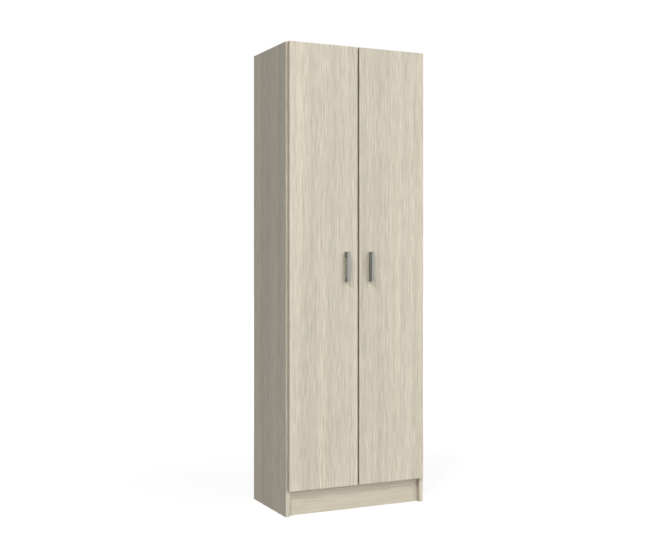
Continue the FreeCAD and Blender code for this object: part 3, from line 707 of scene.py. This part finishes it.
def set_in_place(model, name, node, outward, height):
    """Copies the model to where the node's outermost rings are, and joins the copies."""
    points = [vertex.co for vertex in nodes[node].data.vertices]
    outermost = max(point.dot(outward) for point in points)
    rings = []
    for point in points:
        if point.dot(outward) > outermost - TOUCHING:
            ring = next((r for r in rings if (r[0] - point).length < HEADS_APART), None)
            if ring is None:
                rings.append([point])
            else:
                ring.append(point)
    crowns = []
    for ring in rings:
        spans = [(min(p[axis] for p in ring), max(p[axis] for p in ring)) for axis in (2, 1, 0)]
        crowns.append(tuple(round(least + most, 5) / 2 for least, most in spans))
    upright = outward.to_track_quat("Z", "Y").to_matrix().to_4x4()
    copies = []
    for number, crown in enumerate(sorted(crowns)):
        seat = Vector(crown[::-1]) - outward * height
        turned = Matrix.Rotation(math.radians(FIRST_TURN + NEXT_TURN * number), 4, "Z")
        copies.append(place_copy(model, name, Matrix.Translation(seat) @ upright @ turned))
    bpy.ops.object.select_all(action="DESELECT")
    for copy in copies:
        copy.select_set(True)
    bpy.context.view_layer.objects.active = copies[0]
    bpy.ops.object.join()
    copies[0].name = copies[0].data.name = name
    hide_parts(node)
    return copies[0]


def fit_screws(size, seats):
    """Models one screw and sets it in its seats: node, body and the way its heads look."""
    screw = model_screw(*size)
    pieces = []
    for node, body, outward in seats:
        piece = set_in_place(screw, "cross_head_" + node, node, outward, size[1])
        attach(piece, body)
        pieces.append(piece)
    bpy.data.objects.remove(screw)
    return pieces


screws = (
    fit_screws(CUP_SCREW, [
        ("hinge_cup_screws_" + side, side + "_door", BACKWARDS) for side in SIDES])
    + fit_screws(PLATE_SCREW, [
        ("hinge_plate_screws_" + side, "carcass", INWARDS[side]) for side in SIDES])
    + fit_screws(ARM_SCREW, [
        ("hinge_arm_screws_" + side, "carcass", INWARDS[side]) for side in SIDES])
    + fit_screws(HANDLE_SCREW, [
        ("handle_screws_" + side, side + "_door", BACKWARDS) for side in SIDES])
    + fit_screws(BRACKET_SCREW, [("wall_bracket_screws", "carcass", DOWNWARDS)])
)
finish_metal(
    screws, "screw_zinc", (0.58, 0.60, 0.62), metallic=1.0, roughness=0.33, brushed=0.2)


# Cam fittings, nails and the wall bracket: die-cast cams that grip the heads of zinc-
# plated steel bolts, steel nails through the back panels, and a bent steel angle.
finish_metal(
    ["cam_locks"], "cam_zinc_casting", (0.42, 0.43, 0.44),
    metallic=0.9, roughness=0.48, brushed=0.0)
finish_metal(
    ["cam_bolts"], "cam_bolt_zinc", (0.58, 0.59, 0.58),
    metallic=1.0, roughness=0.35, brushed=0.6, along="x")
finish_metal(
    ["back_panel_nails"], "nail_steel", (0.48, 0.48, 0.47),
    metallic=1.0, roughness=0.40, brushed=0.3, along="y")
finish_metal(
    ["wall_bracket"], "bracket_zinc", (0.60, 0.62, 0.63),
    metallic=1.0, roughness=0.36, brushed=0.5, along="x")


# Dowels: turned beech pins, glued into the ends of the boards and pressed into the
# sides. Their grain runs along them.
BEECH = ((0.3, (0.46, 0.29, 0.15)), (0.7, (0.68, 0.48, 0.28)))
BEECH_GRAIN = (40, 900, 900)
material, tone = start_finish("dowel_beech")
place = tone.node("TexCoord").out("Object")
moved = tone.node("Mapping", inputs={0: place, 3: BEECH_GRAIN})
grain = tone.node("TexNoise", inputs={
    "Vector": moved, "Scale": 1.0, "Detail": 3.0, "Roughness": 0.6})
flecks = tone.node("TexNoise", inputs={"Vector": place, "Scale": 700.0, "Detail": 1.0})
close_finish(tone, tone.node("BsdfPrincipled", inputs={
    "Base Color": tone.node("ValToRGB", {"stops": BEECH}, {0: grain}),
    "Roughness": 0.62 + (grain - 0.5) * 0.2,
    "Normal": tone.node("Bump", inputs={
        "Strength": 0.3, "Distance": 0.0001, "Height": grain + flecks * 0.3}),
}))
put_on(["wooden_dowels"], material)


# Shelf pins: moulded off-white plastic, pushed into the rows of 5 mm holes, four under
# each loose shelf.
def finish_plastic(pieces, label, colour, roughness):
    material, tone = start_finish(label)
    place = tone.node("TexCoord").out("Object")
    cloud = tone.node("TexNoise", inputs={"Vector": place, "Scale": 140.0, "Detail": 3.0})
    grit = tone.node("TexNoise", inputs={"Vector": place, "Scale": 3200.0, "Detail": 1.0})
    tint = 1.0 + (cloud - 0.5) * 0.10
    shade = tone.node("CombineXYZ", inputs={0: tint, 1: tint, 2: tint})
    close_finish(tone, tone.node("BsdfPrincipled", inputs={
        "Base Color": tone.node("VectorMath", {"operation": "MULTIPLY"}, {
            0: shade, 1: colour}),
        "Roughness": roughness + (cloud - 0.5) * 0.12,
        "Normal": tone.node("Bump", inputs={
            "Strength": 0.2, "Distance": 0.00004, "Height": grit + cloud}),
    }))
    put_on(pieces, material)


finish_plastic(["shelf_pins"], "pin_plastic", (0.66, 0.65, 0.60), roughness=0.42)


# Bumpers: soft milky plastic domes, stuck on the back of each door near its closing
# edge. The door shuts against the carcass on them.
BUMPER_RADIUS = 0.004
BUMPER_HEIGHT = 0.0013
BUMPER_ROUNDING = 0.00115
bumper = add_rod("bumper", (0, 0, BUMPER_HEIGHT / 2), BUMPER_RADIUS, BUMPER_HEIGHT, sides=40)
choose(bumper, "FACE", lambda corners: all(c.z > BUMPER_HEIGHT - TOUCHING for c in corners))
bpy.ops.mesh.bevel(offset=BUMPER_ROUNDING, segments=7, affect="EDGES")
bpy.ops.object.mode_set(mode="OBJECT")
bpy.ops.object.shade_smooth_by_angle(angle=SMOOTH)
bumpers = []
for side in SIDES:
    piece = set_in_place(
        bumper, "bumper_domes_" + side, "door_bumpers_" + side, BACKWARDS, BUMPER_HEIGHT)
    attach(piece, side + "_door")
    bumpers.append(piece)
bpy.data.objects.remove(bumper)
finish_plastic(bumpers, "bumper_plastic", (0.62, 0.61, 0.57), roughness=0.30)
